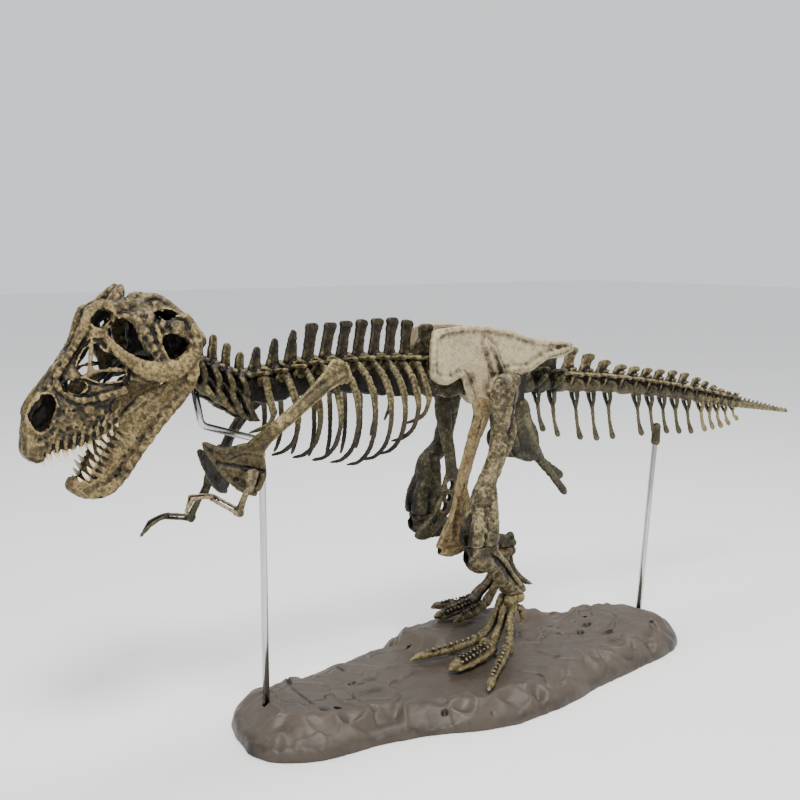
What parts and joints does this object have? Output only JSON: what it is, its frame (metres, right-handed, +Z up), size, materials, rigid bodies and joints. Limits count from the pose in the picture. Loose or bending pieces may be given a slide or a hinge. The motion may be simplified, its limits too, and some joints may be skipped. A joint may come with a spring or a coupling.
{
  "type": "dinosaur skeleton puzzle",
  "caption": "Plug-together plastic tyrannosaurus skeleton on a rock-shaped base with two steel support rods, an adjustable lower jaw and turning arms",
  "frame": {"origin": "on the underside of the base, on the animal's middle plane, halfway along the skeleton's length", "axes": "+X from head to tail, +Y towards the animal's right side, +Z up"},
  "size_m": [0.9221, 0.199, 0.387],
  "materials": {
    "bone": "dark-washed and dry-brushed bone paint",
    "rock": "satin moulded rock texture",
    "steel": "polished round bar"
  },
  "bodies": {
    "frame": {"base": "rock", "front_rod": "steel", "tail_rod": "steel", "skull": "bone", "jaw_pins": "steel", "neck": "bone", "back": "bone", "sacrum": "bone", "tail_root": "bone", "tail_middle": "bone", "tail_end": "bone", "tail_tip": "bone", "chevrons_root": "bone", "chevrons_middle": "bone", "rib_left_1": "bone", "rib_left_2": "bone", "rib_left_3": "bone", "rib_left_4": "bone", "rib_left_5": "bone", "rib_left_6": "bone", "rib_left_7": "bone", "rib_left_8": "bone", "rib_left_9": "bone", "rib_left_10": "bone", "rib_right_1": "bone", "rib_right_2": "bone", "rib_right_3": "bone", "rib_right_4": "bone", "rib_right_5": "bone", "rib_right_6": "bone", "rib_right_7": "bone", "rib_right_8": "bone", "rib_right_9": "bone", "rib_right_10": "bone", "scapula_left": "bone", "scapula_right": "bone", "ilium_left": "bone", "ilium_right": "bone", "pubis_left": "bone", "pubis_right": "bone", "ischium_left": "bone", "ischium_right": "bone", "thigh_left": "bone", "thigh_right": "bone", "shin_left": "bone", "shin_right": "bone", "foot_left": "bone", "foot_right": "bone"},
    "jaw": {"mandible": "bone"},
    "arm_left": {"arm_left": "bone"},
    "arm_right": {"arm_right": "bone"}
  },
  "joints": [
    {"name": "jaw", "type": "hinge", "parent": "frame", "child": "jaw", "pos_m": [-0.339, 0, 0.325], "axis": [0, 1, 0], "range_deg": [-10, 15]},
    {"name": "arm_left_turn", "type": "hinge", "parent": "frame", "child": "arm_left", "pos_m": [-0.288, -0.033, 0.236], "axis": [0, 1, 0], "range_deg": [-25, 25]},
    {"name": "arm_right_turn", "type": "hinge", "parent": "frame", "child": "arm_right", "pos_m": [-0.294, 0.033, 0.226], "axis": [0, 1, 0], "range_deg": [-25, 25]}
  ]
}
